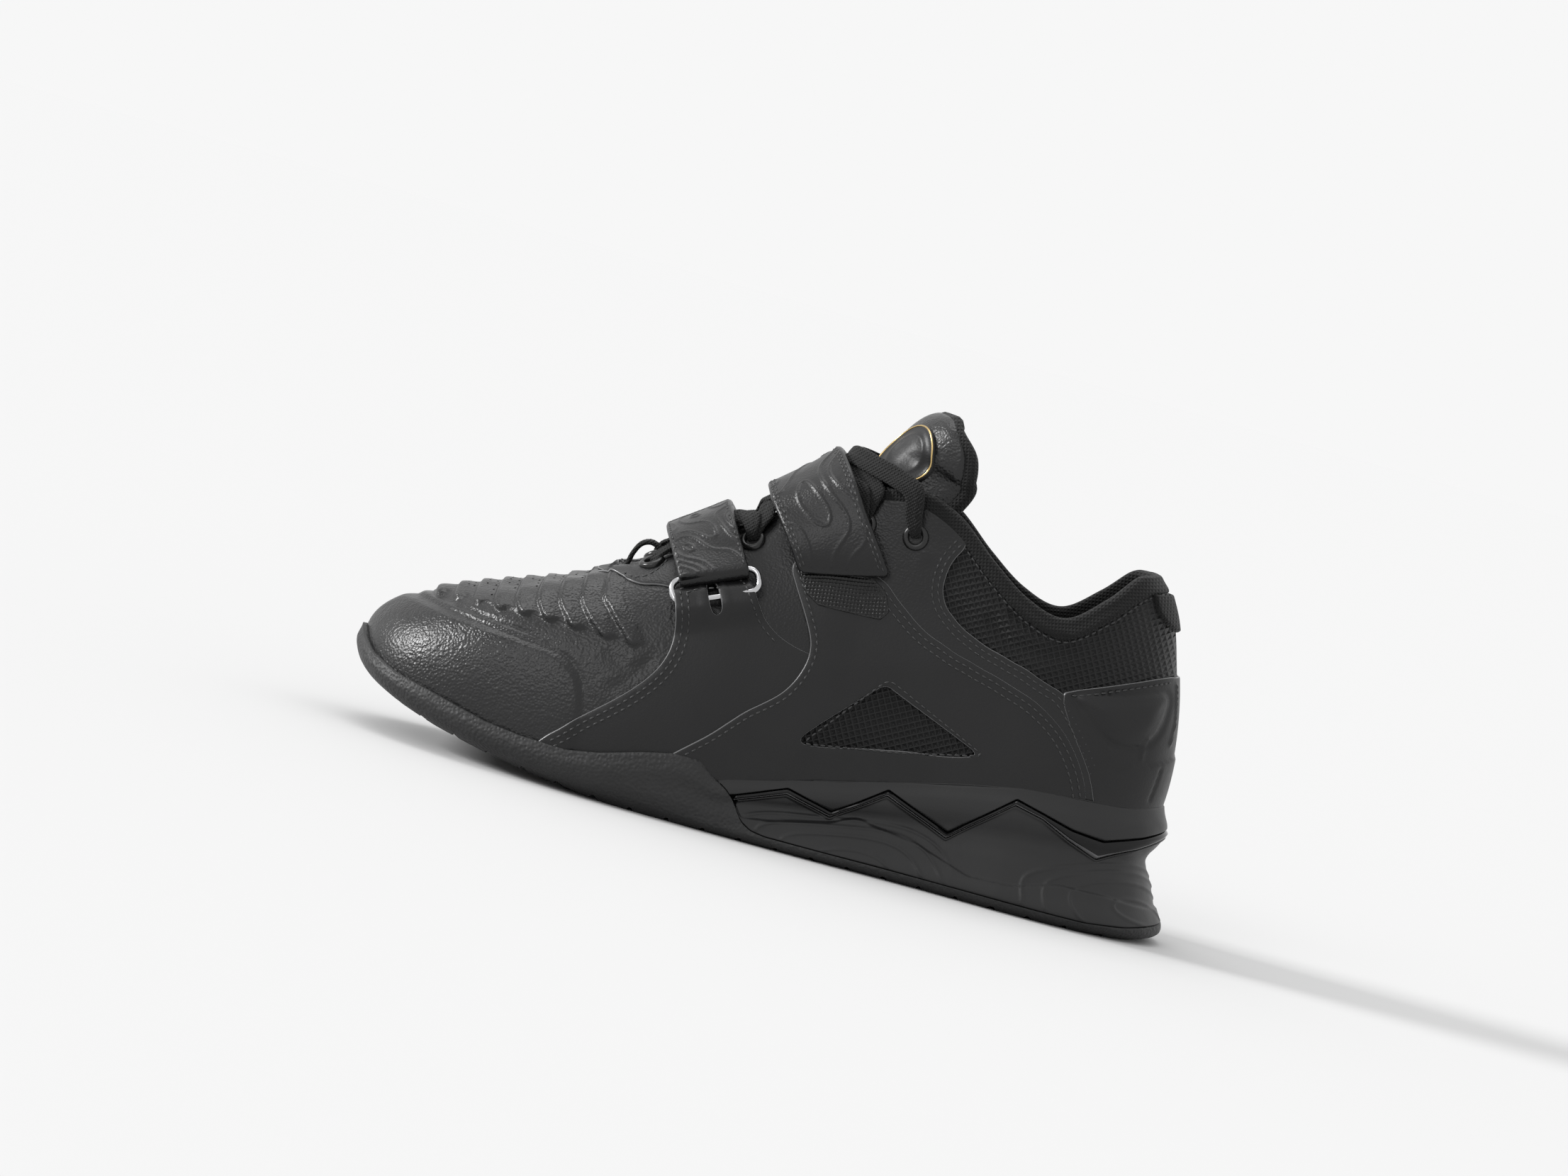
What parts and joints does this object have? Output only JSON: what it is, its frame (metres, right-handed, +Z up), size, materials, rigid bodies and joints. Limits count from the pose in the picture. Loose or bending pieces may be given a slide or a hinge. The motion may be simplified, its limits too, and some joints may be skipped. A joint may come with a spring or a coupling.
{
  "type": "weightlifting shoe",
  "caption": "Left weightlifting shoe with a raised wedge heel, laced throat, padded tongue and two hook-and-loop instep straps, one through a metal ring.",
  "frame": {"origin": "on the ground under the heel, at the middle of its flat tread", "axes": "+X from the toe towards the heel, -Y to the outer side of the left foot, +Z up"},
  "size_m": [0.3021, 0.1064, 0.1596],
  "materials": {
    "rubber": "matt pebbled black rubber",
    "heel_plastic": "satin black moulded plastic",
    "gloss_insert": "glossy black plastic",
    "insole_fabric": "black brushed knit",
    "leather": "fine-grained black synthetic leather",
    "moulded_leather": "smooth pressed black synthetic leather",
    "webbing": "black woven tape",
    "tongue_fabric": "black padded knit and mesh",
    "strap_leather": "black synthetic leather with embossed contour lines",
    "ring_steel": "polished steel wire",
    "badge_gold": "satin gold ring on black",
    "eyelet_metal": "black enamelled metal",
    "lace": "flat black braid"
  },
  "bodies": {
    "root": {"outsole": "rubber", "heel_wedge": "heel_plastic", "heel_insert": "gloss_insert", "heel_cup": "heel_plastic", "insole": "insole_fabric", "upper": "leather", "strap_base_outer": "moulded_leather", "strap_base_inner": "moulded_leather", "quarter_outer": "moulded_leather", "quarter_inner": "moulded_leather", "heel_counter": "moulded_leather", "heel_tab": "webbing", "toe_ribs": "leather", "tongue": "tongue_fabric", "lower_strap": "strap_leather", "upper_strap": "strap_leather", "strap_ring": "ring_steel", "lace_loop": "webbing", "tongue_badge": "badge_gold", "eyelet_outer_1": "eyelet_metal", "eyelet_outer_2": "eyelet_metal", "eyelet_outer_3": "eyelet_metal", "eyelet_outer_4": "eyelet_metal", "eyelet_outer_5": "eyelet_metal", "eyelet_outer_6": "eyelet_metal", "eyelet_inner_1": "eyelet_metal", "eyelet_inner_2": "eyelet_metal", "eyelet_inner_3": "eyelet_metal", "eyelet_inner_4": "eyelet_metal", "eyelet_inner_5": "eyelet_metal", "eyelet_inner_6": "eyelet_metal", "lace_cross_1": "lace", "lace_cross_2": "lace", "lace_cross_3": "lace", "lace_cross_4": "lace", "lace_cross_5": "lace"}
  },
  "joints": []
}
